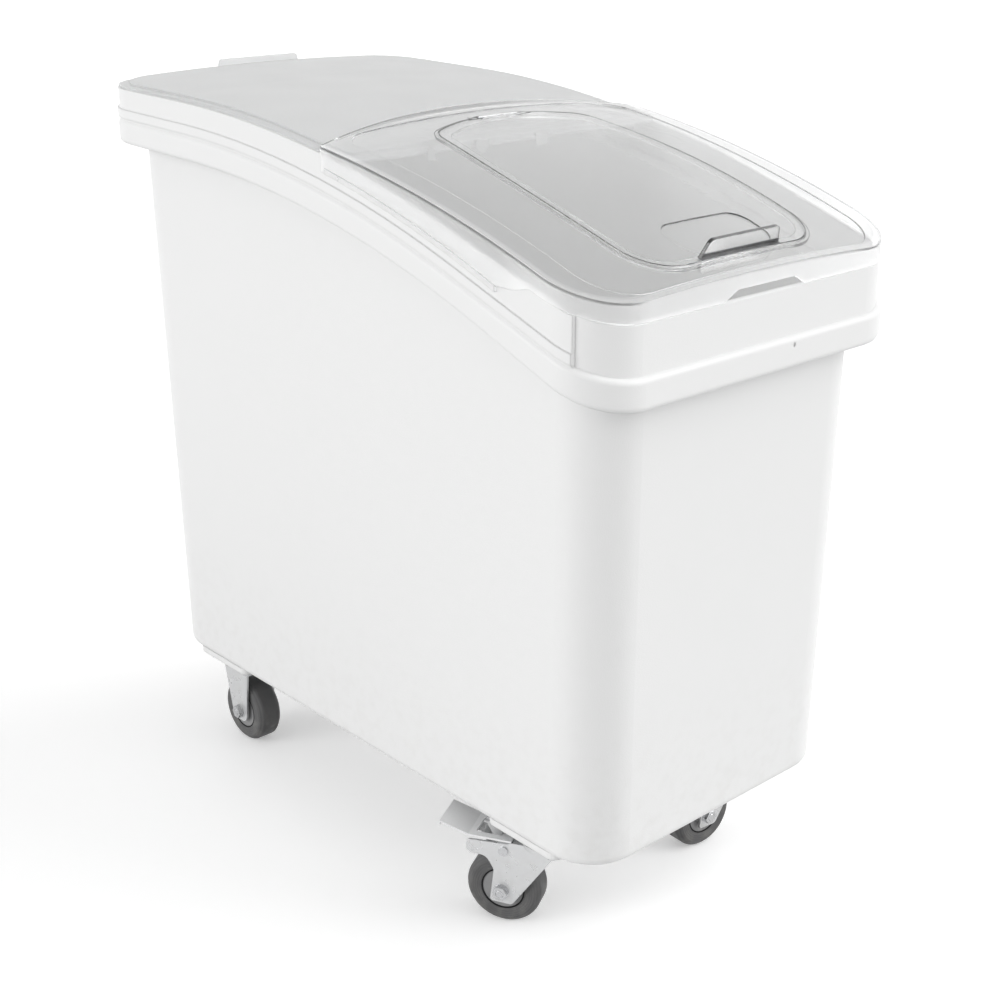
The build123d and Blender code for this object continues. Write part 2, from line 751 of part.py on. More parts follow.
def make_swivel_fork():
    points = [
        (-13.0, crown_top - 5.0),
        (-13.0, crown_top),
        (lever_front_u, crown_top),
        (lever_front_u + 4, crown_top - 2.0),
        (77.0, crown_top - 3.9),
        (78.0, 79.5),
        (73.0, 75.5),
        (58.0, 76.0),
        (49.6, 62.0),
        (53.6, 26.0),
        (31.0, 25.0),
    ]
    legs = leg_pair(points, (0, 0, 0, 0, 3.0, 3.0, 3.0, 10.0, 8.0, 3.0, 6.0))
    top = Pos((lever_front_u - 13) / 2, 0, crown_top - fork_wall / 2)
    sheet = top * Box(lever_front_u + 13, 2 * fork_outer, fork_wall)
    crown = Pos(0, 0, crown_top - fork_wall / 2) * Cylinder(crown_radius, fork_wall)
    race = Pos(0, 0, crown_top + 0.8) * (Cylinder(crown_radius, 1.6) - Cylinder(race_radius - 6, 1.6))
    fork = legs + sheet + crown + race
    fork = fork - Pos(0, 0, crown_top) * Cylinder(kingpin_radius + running_fit, 40)
    fork = fork - Pos(trail, 0, wheel_radius) * across(Cylinder(axle_radius + 0.05, 200))
    fork = fork - Pos(pivot_u, 0, pivot_z) * across(Cylinder(pivot_radius + 0.05, 200))
    return fork


def make_ball_ring():
    """The ring of balls and grease between the two raceways."""
    z = crown_top + 1.6 + ball_ring_radius
    profile = Plane.XZ * (Pos(race_radius, z) * Circle(ball_ring_radius))
    return revolve(profile, axis=Axis.Z)


def plate_blank():
    """A mounting plate with its four bolt holes."""
    outline = RectangleRounded(plate_width, plate_length, plate_corner)
    plate = extrude(Pos(0, 0, plate_low) * outline, amount=plate_wall)
    hole = bolt_radius + bolt_clearance
    for i in (-1, 1):
        for j in (-1, 1):
            plate = plate - Pos(i * bolt_spacing_x / 2, j * bolt_spacing_y / 2, plate_low) * Cylinder(hole, 40)
    return plate


def make_swivel_plate():
    ball_top = crown_top + 1.6 + 2 * ball_ring_radius + 0.3
    profile = Polygon(
        (kingpin_radius + 0.05, plate_top),
        (kingpin_radius + 0.05, plate_low - 1.0),
        (13.0, plate_low - 1.0),
        (race_radius - 3.5, ball_top),
        (race_radius + 3.5, ball_top),
        (race_radius + 5.0, plate_low),
        (race_radius + 5.0, plate_top),
        align=None,
    )
    cup = revolve(Plane.XZ * profile, axis=Axis.Z)
    return plate_blank() - Cylinder(kingpin_radius + 0.05, 400) + cup


def make_kingpin():
    low = crown_top - fork_wall - 0.3
    shank = Cylinder(kingpin_radius, plate_top - low, align=(Align.CENTER, Align.CENTER, Align.MIN))
    head = Cylinder(kingpin_head_radius, kingpin_head_height, align=(Align.CENTER, Align.CENTER, Align.MAX))
    head = fillet(head.edges().group_by(Axis.Z)[0], 1.6)
    return Pos(0, 0, low) * (shank + head)


def make_rigid_fork():
    """Mounting plate with two tapered legs, in one pressed and welded piece."""
    foot = 12.2
    points = [
        (-21.0, plate_low),
        (30.0, plate_low),
        (foot, wheel_radius - foot + 1.0),
        (-foot - 1.0, wheel_radius - foot + 1.0),
    ]
    legs = leg_pair(points, (0, 0, 9.5, 9.5))
    bridge = Pos(4.5, 0, plate_low - fork_wall / 2) * Box(51.0, 2 * fork_outer, fork_wall)
    legs = (legs + bridge) - Pos(0, 0, wheel_radius) * across(Cylinder(axle_radius + 0.05, 200))
    return plate_blank() + Rot(0, 0, 90) * legs


def make_pedal():
    low = crown_top + lever_lift
    high = low + lever_wall
    tip_low = low + lever_rise
    profile = Polygon(
        (lever_front_u + 0.6, low),
        (lever_crease_u, low),
        (lever_tip_u, tip_low),
        (lever_tip_u + 0.4, tip_low - 3.0),
        (lever_tip_u + 2.4, tip_low - 2.6),
        (lever_tip_u + 1.2, tip_low + lever_wall),
        (lever_crease_u - 0.6, high),
        (lever_front_u + 0.6, high),
        align=None,
    )
    lever = upright(profile, 0, 2 * lever_half_width)
    window = RectangleRounded(27.0, 26.0, 2.5)
    lever = lever - extrude(Pos(56.0, 0, low - 1) * window, amount=lever_wall + 2)
    ear_outer = fork_inner - ear_inset
    ear = Polygon(
        (pivot_u - ear_radius - 1, low + 0.4),
        (pivot_u - ear_radius, pivot_z),
        (pivot_u - 3, pivot_z - 4.2),
        (pivot_u + 3, pivot_z - 4.2),
        (pivot_u + ear_radius, pivot_z),
        (pivot_u + ear_radius + 1, low + 0.4),
        align=None,
    )
    ear_middle = ear_outer - lever_wall / 2
    lever = lever + upright(ear, ear_middle, lever_wall) + upright(ear, -ear_middle, lever_wall)
    return lever - Pos(pivot_u, 0, pivot_z) * across(Cylinder(pivot_radius + running_fit, 200))


def make_brake_spring():
    """Bent leaf under the lever: a foot against its underside and a curled shoe over the tyre."""
    low = crown_top + lever_lift
    strip = 1.2
    path = FilletPolyline(
        (lever_crease_u - 2.0, low - strip / 2),
        (66.0, low - strip / 2),
        (58.5, 80.6),
        (52.0, 80.6),
        (47.5, 90.0),
        radius=2.2,
    )
    leaf = make_face(offset(path, amount=strip / 2).edges())
    return upright(leaf, 0, spring_width)


def make_pivot_pin():
    shank = Cylinder(pivot_radius, 2 * fork_outer)
    head = Cylinder(pivot_head_radius, 1.6)
    heads = [Pos(0, 0, side * (fork_outer + 0.8)) * head for side in (-1, 1)]
    return Pos(pivot_u, 0, pivot_z) * across(shank + heads[0] + heads[1])


def placed(shape, x, y, angle):
    """A caster piece, built with its trail along +X, set under the tub."""
    moves = Pos(x, y, 0) * Rot(0, 0, angle)
    if isinstance(shape, list):
        return Compound(children=[moves * one for one in shape])
    return moves * shape


def make_bolts():
    """Bolts with low round heads, each sunk in a counterbore of the tub floor."""
    top = base_height + floor_wall - bolt_head_height - bolt_head_sink
    low = plate_low - nut_height - bolt_end
    shank = Cylinder(bolt_radius, top - low + 0.5, align=(Align.CENTER, Align.CENTER, Align.MIN))
    head = Cylinder(bolt_head_radius, bolt_head_height, align=(Align.CENTER, Align.CENTER, Align.MIN))
    head = fillet(head.edges().group_by(Axis.Z)[-1], bolt_head_height * 0.8)
    bolt = Pos(0, 0, low) * shank + Pos(0, 0, top) * head
    return Compound(children=[Pos(x, y, 0) * bolt for x, y in bolt_places()])


def make_nuts():
    nut = hexagon(nut_across_flats, nut_height) - Cylinder(bolt_radius + 0.03, 60)
    return Compound(children=[Pos(x, y, plate_low - nut_height) * nut for x, y in bolt_places()])


def make_hinge_pins():
    axis_y, axis_z = door_axis()
    length = door_pin_half - 6.0
    pin = Rot(0, 90, 0) * Cylinder(door_pin_radius, length)
    return Compound(children=[Pos(side * (door_pin_half - length / 2), axis_y, axis_z) * pin for side in (-1, 1)])


def caster_nodes():
    """Every piece of the four casters by its node name."""
    nodes = {}
    corners = (
        ("front_left", -front_caster_x, front_caster_y, left_trail_angle),
        ("front_right", front_caster_x, front_caster_y, right_trail_angle),
        ("rear_left", -rear_caster_x, rear_caster_y, 90.0),
        ("rear_right", rear_caster_x, rear_caster_y, 90.0),
    )
    for corner, x, y, angle in corners:
        swivels = corner.startswith("front")
        reach = trail if swivels else 0.0
        wheel = Pos(reach, 0, wheel_radius)
        spin = Rot(0, 0, 180) if corner == "rear_right" else Rot(0, 0, 0)
        nodes["tyre_" + corner] = placed(wheel * make_tyre(), x, y, angle)
        nodes["wheel_core_" + corner] = placed(wheel * make_wheel_core(), x, y, angle)
        nodes["hub_rings_" + corner] = placed([wheel * ring for ring in make_bearing_rings()], x, y, angle)
        nodes["axle_sleeve_" + corner] = placed(wheel * make_sleeve(), x, y, angle)
        nodes["axle_bolt_" + corner] = placed(wheel * spin * make_axle_bolt(), x, y, angle)
        nodes["axle_nut_" + corner] = placed(wheel * spin * make_axle_nut(), x, y, angle)
        if swivels:
            nodes["swivel_plate_" + corner] = placed(make_swivel_plate(), x, y, 0)
            nodes["kingpin_" + corner] = placed(make_kingpin(), x, y, 0)
            nodes["swivel_fork_" + corner] = placed(make_swivel_fork(), x, y, angle)
            nodes["ball_ring_" + corner] = placed(make_ball_ring(), x, y, angle)
            nodes["brake_pedal_" + corner] = placed(make_pedal(), x, y, angle)
            nodes["brake_spring_" + corner] = placed(make_brake_spring(), x, y, angle)
            nodes["pedal_pivot_" + corner] = placed(make_pivot_pin(), x, y, angle)
        else:
            nodes["rigid_fork_" + corner] = placed(make_rigid_fork(), x, y, 0)
    return nodes


def all_nodes():
    nodes = {
        "tub": make_tub(),
        "rear_lid": make_rear_lid(),
        "front_lid": make_front_lid(),
        "lid_door": make_door(),
        "door_hinge_pins": make_hinge_pins(),
        "caster_bolts": make_bolts(),
        "caster_nuts": make_nuts(),
    }
    nodes.update(caster_nodes())
    return nodes


os.makedirs("parts", exist_ok=True)
for name, shape in all_nodes().items():
    export_step(shape, "parts/" + name + ".step")
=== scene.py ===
# %% [markdown]
# A mobile ingredient bin for a kitchen: a white moulded tub on four casters, a frosted lid over the
# rear and a clear lid that slides up over it, with a small hinged door. The solids come from the
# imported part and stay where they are. This notebook gives them their finishes, adds the small
# things that a solid model leaves out, and sets up the light and the camera.

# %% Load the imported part
import json
import math

import bpy
import numpy as np
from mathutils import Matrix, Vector


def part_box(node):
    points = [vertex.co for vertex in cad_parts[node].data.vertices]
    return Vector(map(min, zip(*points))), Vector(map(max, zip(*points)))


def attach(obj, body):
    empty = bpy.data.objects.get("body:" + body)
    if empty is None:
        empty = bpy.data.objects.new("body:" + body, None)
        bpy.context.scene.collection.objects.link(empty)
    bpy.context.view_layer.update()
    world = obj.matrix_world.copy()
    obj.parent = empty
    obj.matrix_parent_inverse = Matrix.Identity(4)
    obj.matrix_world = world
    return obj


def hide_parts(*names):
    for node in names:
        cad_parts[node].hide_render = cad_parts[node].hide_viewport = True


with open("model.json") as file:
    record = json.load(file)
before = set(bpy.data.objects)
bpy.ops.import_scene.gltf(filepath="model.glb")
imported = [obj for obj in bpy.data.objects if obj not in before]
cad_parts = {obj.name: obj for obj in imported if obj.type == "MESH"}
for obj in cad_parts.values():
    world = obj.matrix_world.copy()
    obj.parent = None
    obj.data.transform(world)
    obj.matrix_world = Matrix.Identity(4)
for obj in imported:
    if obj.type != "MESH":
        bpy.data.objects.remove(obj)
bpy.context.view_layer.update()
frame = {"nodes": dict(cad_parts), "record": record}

nodes = frame["nodes"]
print("pieces in the part:", len(nodes))

# %% [markdown]
# Every finish below is a small tree of shader nodes. Such a tree can be drawn by hand in the shader
# editor; here a few helpers write it, because then each finish is a few lines that can be read and
# compared. One adds a node and plugs it in, and the others stand for one sum, one smooth step or
# a chain of products.

# %% Helpers for shader trees
def node(tree, kind, inputs=None, **settings):
    """Adds a shader node; inputs takes plain values or the sockets that feed it."""
    made = tree.nodes.new("ShaderNode" + kind)
    for key, value in settings.items():
        setattr(made, key, value)
    for key, value in (inputs or {}).items():
        if isinstance(value, bpy.types.NodeSocket):
            tree.links.new(value, made.inputs[key])
        else:
            made.inputs[key].default_value = value
    return made


def calc(tree, operation, first, second=0.0, clamp=False):
    """One Math node's result."""
    return node(tree, "Math", {0: first, 1: second}, operation=operation, use_clamp=clamp).outputs[0]


def ramp(tree, value, low, high, start=0.0, end=1.0):
    """A smooth step: start below low, end above high."""
    mapped = node(
        tree, "MapRange", {0: value, 1: low, 2: high, 3: start, 4: end}, interpolation_type="SMOOTHSTEP"
    )
    return mapped.outputs[0]


def product(tree, first, *others):
    """The values multiplied: as masks, one only where every mask is one."""
    for other in others:
        first = calc(tree, "MULTIPLY", first, other)
    return first


def largest(tree, first, *others):
    """The highest of the values at each point."""
    for other in others:
        first = calc(tree, "MAXIMUM", first, other)
    return first


print("helpers: node, calc, ramp, product, largest")

# %% [markdown]
# Grain, scratches and dust lie on several of the bin's materials. Each such pattern is built once
# as a node group with named inputs and outputs, and each finish places the group with its own
# numbers, so a pattern is corrected in one place.

# %% Helpers for patterns
def pattern_group(name, takes, gives):
    """An empty shader node group with named inputs (name, start value) and outputs."""
    tree = bpy.data.node_groups.new(name, "ShaderNodeTree")
    for label, start in takes:
        socket = tree.interface.new_socket(label, in_out="INPUT", socket_type="NodeSocketFloat")
        socket.default_value = start
    for label in gives:
        tree.interface.new_socket(label, in_out="OUTPUT", socket_type="NodeSocketFloat")
    return tree, tree.nodes.new("NodeGroupInput"), tree.nodes.new("NodeGroupOutput")


def use(tree, group, **values):
    """Places a pattern group in a material, with its own values."""
    made = tree.nodes.new("ShaderNodeGroup")
    made.node_tree = group
    for key, value in values.items():
        made.inputs[key.replace("_", " ")].default_value = value
    return made


print("helpers: pattern_group, use")

# %% [markdown]
# Moulded plastic is never quite flat. Up close it has the fine texture of the mould's steel, and
# from further off the light wavers where the wall cooled unevenly. A photograph of plastic could
# be laid over it, but it would stretch round the corners. Noise on the object's own coordinates
# doesn't: one fine, one broad, added up as a height for the bump.

# %% Mould texture
mould_texture, source, sink = pattern_group(
    "mould texture",
    [("Grain per metre", 900.0), ("Waves per metre", 22.0), ("Wave share", 0.5)],
    ["Height", "Tone"],
)
place = node(mould_texture, "TexCoord").outputs["Object"]
grain = node(mould_texture, "TexNoise", {"Vector": place, "Scale": source.outputs[0], "Detail": 2.0})
waves = node(mould_texture, "TexNoise", {"Vector": place, "Scale": source.outputs[1], "Detail": 1.0})
broad = product(mould_texture, waves.outputs[0], source.outputs[2])
mould_texture.links.new(calc(mould_texture, "ADD", grain.outputs[0], broad), sink.inputs[0])
mould_texture.links.new(waves.outputs[0], sink.inputs[1])
print("pattern:", mould_texture.name)

# %% [markdown]
# Handling leaves fine scratches. A noise squeezed hard along one direction turns into hairlines;
# two such sets at different slants, each cut off so that only its peaks stay, look like the
# marks that a cloth and a scoop leave.

# %% Hairline scratches
first_slant = {"Rotation": (0.3, 0.2, 0.7), "Scale": (1.0, 28.0, 9.0)}
second_slant = {"Rotation": (1.1, 0.9, -0.5), "Scale": (22.0, 1.0, 16.0)}
peak_start = 0.66
peak_end = 0.74

hairlines, source, sink = pattern_group("hairlines", [("Per metre", 60.0), ("Amount", 0.5)], ["Mask"])
place = node(hairlines, "TexCoord").outputs["Object"]
sets = []
for slant in (first_slant, second_slant):
    turned = node(hairlines, "Mapping", {"Vector": place, **slant}).outputs[0]
    lines = node(hairlines, "TexNoise", {"Vector": turned, "Scale": source.outputs[0], "Detail": 3.0})
    sets.append(ramp(hairlines, lines.outputs[0], peak_start, peak_end))
hairlines.links.new(product(hairlines, largest(hairlines, *sets), source.outputs[1]), sink.inputs[0])
print("pattern:", hairlines.name)

# %% [markdown]
# A bin that rolls about a kitchen picks up a little dust low down. The mask fades with height
# above the floor and is broken up by noise, so it never looks like a painted band.

# %% Dust near the floor
dust_spots_per_metre = 85.0
spot_start = 0.4
spot_full = 0.75

low_dust, source, sink = pattern_group("low dust", [("Height", 0.25), ("Amount", 0.3)], ["Mask"])
place = node(low_dust, "TexCoord").outputs["Object"]
height = node(low_dust, "SeparateXYZ", {0: place}).outputs[2]
near = calc(low_dust, "SUBTRACT", 1.0, calc(low_dust, "DIVIDE", height, source.outputs[0]), clamp=True)
spots = node(low_dust, "TexNoise", {"Vector": place, "Scale": dust_spots_per_metre, "Detail": 5.0})
broken = product(low_dust, near, ramp(low_dust, spots.outputs[0], spot_start, spot_full))
low_dust.links.new(product(low_dust, broken, source.outputs[1]), sink.inputs[0])
print("pattern:", low_dust.name)

# %% [markdown]
# Each finish starts from one Principled shader. Numbers that are the same all over sit on the
# shader's own sockets; only what changes over the surface comes in through a link. Three more
# things recur, and each is a small function: a colour or a roughness that follows a mask, light
# that comes through the wall of a thin plastic piece, and a bump on edges that look rounded. A
# Bevel node rounds them in the shading alone, so that the solids stay as they are.

# %% Start of a finish
def finish(name, **values):
    """A new material and its shader: plain values go straight on the shader's sockets."""
    material = bpy.data.materials.new(name)
    material.use_nodes = True
    tree = material.node_tree
    shader = tree.nodes["Principled BSDF"]
    for key, value in values.items():
        shader.inputs[key.replace("_", " ")].default_value = value
    return material, tree, shader


def tint(tree, shader, mask, plain, marked):
    """Base colour that goes from plain to marked where the mask rises."""
    mix = node(tree, "Mix", {0: mask, 6: (*plain, 1.0), 7: (*marked, 1.0)}, data_type="RGBA")
    tree.links.new(mix.outputs[2], shader.inputs["Base Color"])


def rough(tree, shader, mask, low, high):
    """Roughness from low to high with the mask."""
    tree.links.new(ramp(tree, mask, 0.0, 1.0, low, high), shader.inputs["Roughness"])


def let_light_in(tree, shader, share):
    """Rays that only carry light pass straight through that share of the plastic."""
    rays = node(tree, "LightPath").outputs
    carrying = largest(tree, rays["Is Shadow Ray"], rays["Is Diffuse Ray"])
    tree.links.new(calc(tree, "SUBTRACT", 1.0, product(tree, carrying, share)), shader.inputs["Alpha"])


def bump(tree, shader, height, depth, edge):
    """Height to a bump of that depth in metres, on edges that catch the light as if rounded by edge."""
    rounded = node(tree, "Bevel", {"Radius": edge}, samples=4)
    made = node(tree, "Bump", {"Height": height, "Distance": depth, "Normal": rounded.outputs[0]})
    tree.links.new(made.outputs[0], shader.inputs["Normal"])


print("steps of a finish: finish, tint, rough, let_light_in, bump")

# %% [markdown]
# The tub is white polyethylene, which is waxy: a soft broad sheen, a fine grain, hardly any colour
# of its own. The grain is about a millimetre across and far too shallow to see as bumps; it only
# softens the highlight. Real subsurface scattering could give the wax, but it is slow and noisy
# on a wall this large, so a share of the light is let through the wall instead.

# %% White polyethylene
white_polyethylene, tree, shader = finish("white_polyethylene", Specular_IOR_Level=0.45)
mould = use(tree, mould_texture, Grain_per_metre=900.0, Waves_per_metre=14.0, Wave_share=1.4)
dust = use(tree, low_dust, Height=0.28, Amount=0.22)
marks = use(tree, hairlines, Per_metre=26.0, Amount=0.5)
tint(tree, shader, dust.outputs[0], plain=(0.86, 0.862, 0.86), marked=(0.62, 0.6, 0.57))
rough(tree, shader, calc(tree, "ADD", mould.outputs[1], marks.outputs[0]), low=0.34, high=0.52)
bump(tree, shader, mould.outputs[0], depth=0.00012, edge=0.0022)
let_light_in(tree, shader, share=0.4)
print("finish:", white_polyethylene.name)

# %% [markdown]
# The rear lid is frosted plastic. Light passes, but the rough surface blurs whatever is behind. A
# rough surface with part transmission gives that: the rest of the light scatters back as from
# white plastic, so the lid stays pale over the inside of the tub. The moulding's waves show in
# the sheen.

# %% Frosted plastic
frosted_plastic, tree, shader = finish("frosted_plastic", Transmission_Weight=0.60, IOR=1.49)
mould = use(tree, mould_texture, Grain_per_metre=700.0, Waves_per_metre=12.0, Wave_share=1.0)
marks = use(tree, hairlines, Per_metre=40.0, Amount=0.3)
tint(tree, shader, marks.outputs[0], plain=(0.82, 0.825, 0.825), marked=(0.76, 0.765, 0.765))
rough(tree, shader, calc(tree, "ADD", mould.outputs[1], marks.outputs[0]), low=0.42, high=0.56)
bump(tree, shader, mould.outputs[0], depth=0.00002, edge=0.0015)
let_light_in(tree, shader, share=0.4)
print("finish:", frosted_plastic.name)

# %% [markdown]
# The clear lid differs from place to place. Its upright skirt has a satin, milky finish, and the rounded
# crest above it catches the light all along; that highlight is painted light, a glow on the crest's mask. A
# mask for each is worked out from the place on the lid: smooth steps, multiplied where all have to hold.
# The lid's box gives its outline.

# %% Masks of the lid's skirt and crest
lid_low, lid_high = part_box("front_lid")
lid_half = lid_high[0]
corner_radius = 0.062
skirt_depth = 0.008
crest_width = 0.0085
soft_step = 0.003
upright_below = 0.35
leaning_above = 0.6


def skirt_and_crest(tree, at, facing):
    """A point's way outward from its corner's centre is the root of (past the side) squared plus (past
    the front) squared. Near the corner's radius lies the skirt, where the wall stands upright and
    its normal hardly rises, and the crest, where it leans over."""
    rise = calc(tree, "ABSOLUTE", facing[2])
    upright = ramp(tree, rise, upright_below, leaning_above, start=1.0, end=0.0)
    from_middle = calc(tree, "ABSOLUTE", at[0])
    past_side = largest(tree, calc(tree, "SUBTRACT", from_middle, lid_half - corner_radius), 0.0)
    past_front = largest(tree, calc(tree, "SUBTRACT", lid_low[1] + corner_radius, at[1]), 0.0)
    squares = calc(tree, "ADD", product(tree, past_side, past_side), product(tree, past_front, past_front))
    outward = calc(tree, "SQRT", squares)
    skirt_start = corner_radius - skirt_depth
    skirt = product(tree, ramp(tree, outward, skirt_start, skirt_start + soft_step), upright)
    crest_start = corner_radius - crest_width
    over_crest = ramp(tree, outward, crest_start, crest_start + soft_step / 3)
    return skirt, product(tree, over_crest, calc(tree, "SUBTRACT", 1.0, upright))


print("clear lid:", round(2000 * lid_half), "mm wide, skirt", round(1000 * skirt_depth), "mm deep")

# %% [markdown]
# Three places on the clear pieces get painted shade: a dark base colour where the clear plastic looks dark.
# The first is a band along the rear end of the clear lid, where it ends just over the rear lid. The band's
# line is bowed like that end.

# %% Mask of the rear band
rear_bow = 0.030
band_depth = 0.015


def rear_band_shade(tree, at):
    """Beyond the line y = start - rear_bow (x / half)^2 + band_depth |x| / half."""
    bow = product(tree, at[0], at[0], rear_bow / lid_half**2)
    narrowing = product(tree, calc(tree, "ABSOLUTE", at[0]), band_depth / lid_half)
    line = calc(tree, "SUBTRACT", calc(tree, "ADD", at[1], bow), narrowing)
    start = lid_high[1] - band_depth
    return ramp(tree, line, start, start + soft_step)


print("rear band:", round(1000 * band_depth), "mm deep, bowed by", round(1000 * rear_bow), "mm")

# %% [markdown]
# The second is a painted dark line, painted shade, along the skirt's lower edge. It could be a narrow piece
# of its own, but the edge is curved and the line thin. A Bevel node gives the normal that a rounded edge
# would have, and where that departs from the true normal, an edge is near.

# %% Mask of the skirt's edge
edge_width = 0.0013
edge_likeness = 0.9
plain_likeness = 0.985


def skirt_edge_shade(tree, skirt):
    """Within about edge_width of the skirt's sharp lower edge: there the rounded normal times the
    true one, each number with its own and summed up, is less than one."""
    rounded = node(tree, "Bevel", {"Radius": edge_width}, samples=4).outputs[0]
    true_normal = node(tree, "NewGeometry").outputs["Normal"]
    likeness = node(tree, "VectorMath", {0: rounded, 1: true_normal}, operation="DOT_PRODUCT")
    alike = likeness.outputs["Value"]
    near_edge = ramp(tree, alike, edge_likeness, plain_likeness, start=1.0, end=0.0)
    return product(tree, near_edge, skirt)


print("edge line: about", 1000 * edge_width, "mm wide")

# %% [markdown]
# The third is a painted dark line, painted shade, at the foot of the door's handle, where the light leaves
# through the thick corner and none comes back. The door's box says where its front and its underside are.

# %% Mask of the handle's foot
door_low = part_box("lid_door")[0]
foot_reach = 0.0100
foot_half = 0.0512
foot_top = 0.0072


def handle_foot_shade(tree, at):
    """The lowest part of the handle's front, over the handle's width."""
    before = calc(tree, "LESS_THAN", at[1], door_low[1] + foot_reach)
    across = calc(tree, "LESS_THAN", calc(tree, "ABSOLUTE", at[0]), foot_half)
    foot_z = door_low[2] + foot_top
    low_down = ramp(tree, at[2], foot_z, foot_z + soft_step / 2, start=1.0, end=0.0)
    return product(tree, before, across, low_down)


print("handle's foot:", round(2000 * foot_half), "mm wide")

# %% [markdown]
# The clear lid and its door are polycarbonate. It is the absorption inside the wall that makes such plastic
# look real: a look straight through passes a few millimetres of it and stays bright, while a look along the
# wall passes many times more, and the edges go dark. The two pieces share that plastic, and each adds its
# own painted shade, and the lid also painted light, in a cell of its own.

# %% Clear polycarbonate
smooth = 0.018
satin = 0.45
wall_tone = (0.5, 0.505, 0.51, 1.0)
wall_density = 22.0


def clear_plastic(name, **values):
    """The plastic that lid and door share, with a mask of its scratches and the place and direction
    of a point for the masks of the piece."""
    material, tree, shader = finish(name, Transmission_Weight=1.0, IOR=1.58, **values)
    mould = use(tree, mould_texture, Grain_per_metre=160.0, Waves_per_metre=18.0, Wave_share=3.0)
    marks = use(tree, hairlines, Per_metre=55.0, Amount=0.32)
    bump(tree, shader, mould.outputs[0], depth=0.00003, edge=0.0012)
    let_light_in(tree, shader, share=0.8)
    inside = node(tree, "VolumeAbsorption", {"Color": wall_tone, "Density": wall_density})
    tree.links.new(inside.outputs[0], tree.nodes["Material Output"].inputs["Volume"])
    spot = node(tree, "TexCoord").outputs
    at = node(tree, "SeparateXYZ", {0: spot["Object"]}).outputs
    facing = node(tree, "SeparateXYZ", {0: spot["Normal"]}).outputs
    return material, tree, shader, marks.outputs[0], at, facing


print("clear wall: roughness", smooth, "to", satin)

# %% [markdown]
# The lid's skirt gathers the light that runs inside the wall and gives it out at the satin rim, at the
# front most of all. Sending far more light through the wall would show that, but slowly and with noise; a
# weak glow where the skirt and crest masks rise stands in for it. That glow is painted light, and on the
# crest it is a painted highlight.

# %% Finish of the clear lid
clear_tone = (0.978, 0.98, 0.98)
# The dark colour of the painted shade on the clear pieces.
painted_shade_tone = (0.1, 0.1, 0.105)
rear_shade_share = 0.5
edge_shade_share = 0.75
front_full = -0.31
front_end = -0.25
side_share = 0.15
crest_share = 1.5
no_glow = (0.0, 0.0, 0.0, 1.0)
painted_rim_light = (0.07, 0.07, 0.07, 1.0)

clear_lid, tree, shader, scratches, at, facing = clear_plastic("clear_lid", Emission_Strength=1.0)
skirt, crest = skirt_and_crest(tree, at, facing)
# Painted shade: the dark band along the lid's rear end, tinted into the base colour.
band = product(tree, rear_band_shade(tree, at), rear_shade_share)
# Painted shade: the dark line on the skirt's lower edge, tinted into the base colour.
edge = product(tree, skirt_edge_shade(tree, skirt), edge_shade_share)
tint(tree, shader, largest(tree, band, edge), plain=clear_tone, marked=painted_shade_tone)
rough(tree, shader, largest(tree, skirt, scratches), low=smooth, high=satin)
# Painted light: a glow on the skirt, strongest at the front, and a painted highlight along the crest.
toward_front = ramp(tree, at[1], front_full, front_end, start=1.0, end=side_share)
painted_light_share = largest(tree, product(tree, skirt, toward_front), product(tree, crest, crest_share))
glow = node(tree, "Mix", {0: painted_light_share, 6: no_glow, 7: painted_rim_light}, data_type="RGBA")
tree.links.new(glow.outputs[2], shader.inputs["Emission Color"])
print("finish:", clear_lid.name)

# %% [markdown]
# The door has no skirt. Its one painted dark place, painted shade, is the foot of the handle, and that has
# to turn with the door, so the mask sits on the door's own material and not on the lid's.

# %% Finish of the door
clear_door, tree, shader, scratches, at, facing = clear_plastic("clear_door")
# Painted shade: the dark line at the handle's foot, tinted into the door's base colour.
tint(tree, shader, handle_foot_shade(tree, at), plain=clear_tone, marked=painted_shade_tone)
rough(tree, shader, scratches, low=smooth, high=satin)
print("finish:", clear_door.name)

# %% [markdown]
# Zinc plate is bright with a cloudy spangle. The clouds change how rough the metal is, more than
# its colour, and the hairlines of handling cross them.

# %% Zinc-plated steel
zinc_steel, tree, shader = finish("zinc_steel", Metallic=0.6)
mould = use(tree, mould_texture, Grain_per_metre=1500.0, Waves_per_metre=120.0, Wave_share=0.5)
marks = use(tree, hairlines, Per_metre=110.0, Amount=0.8)
dust = use(tree, low_dust, Height=0.1, Amount=0.5)
tint(tree, shader, dust.outputs[0], plain=(0.62, 0.625, 0.63), marked=(0.42, 0.41, 0.39))
rough(tree, shader, calc(tree, "ADD", mould.outputs[1], marks.outputs[0]), low=0.2, high=0.48)
bump(tree, shader, mould.outputs[0], depth=0.00005, edge=0.0005)
print("finish:", zinc_steel.name)

# %% [markdown]
# Bolts, nuts and rivets come from another maker than the pressed sheet: they are turned or headed,
# smoother and a little darker, so they stand out on it. They share the sheet's patterns with
# other values.

# %% Fastener steel
fastener_steel, tree, shader = finish("fastener_steel", Metallic=1.0)
mould = use(tree, mould_texture, Grain_per_metre=2400.0, Waves_per_metre=260.0, Wave_share=0.5)
dust = use(tree, low_dust, Height=0.1, Amount=0.5)
tint(tree, shader, dust.outputs[0], plain=(0.50, 0.505, 0.515), marked=(0.36, 0.35, 0.33))
rough(tree, shader, mould.outputs[1], low=0.12, high=0.34)
bump(tree, shader, mould.outputs[0], depth=0.00003, edge=0.0004)
print("finish:", fastener_steel.name)

# %% [markdown]
# The brake pedal is thin sheet with a brighter, duller plate than the fork. It lies in the bin's
# shade, where a mirror would only show the dark underside, so most of its colour is its own.

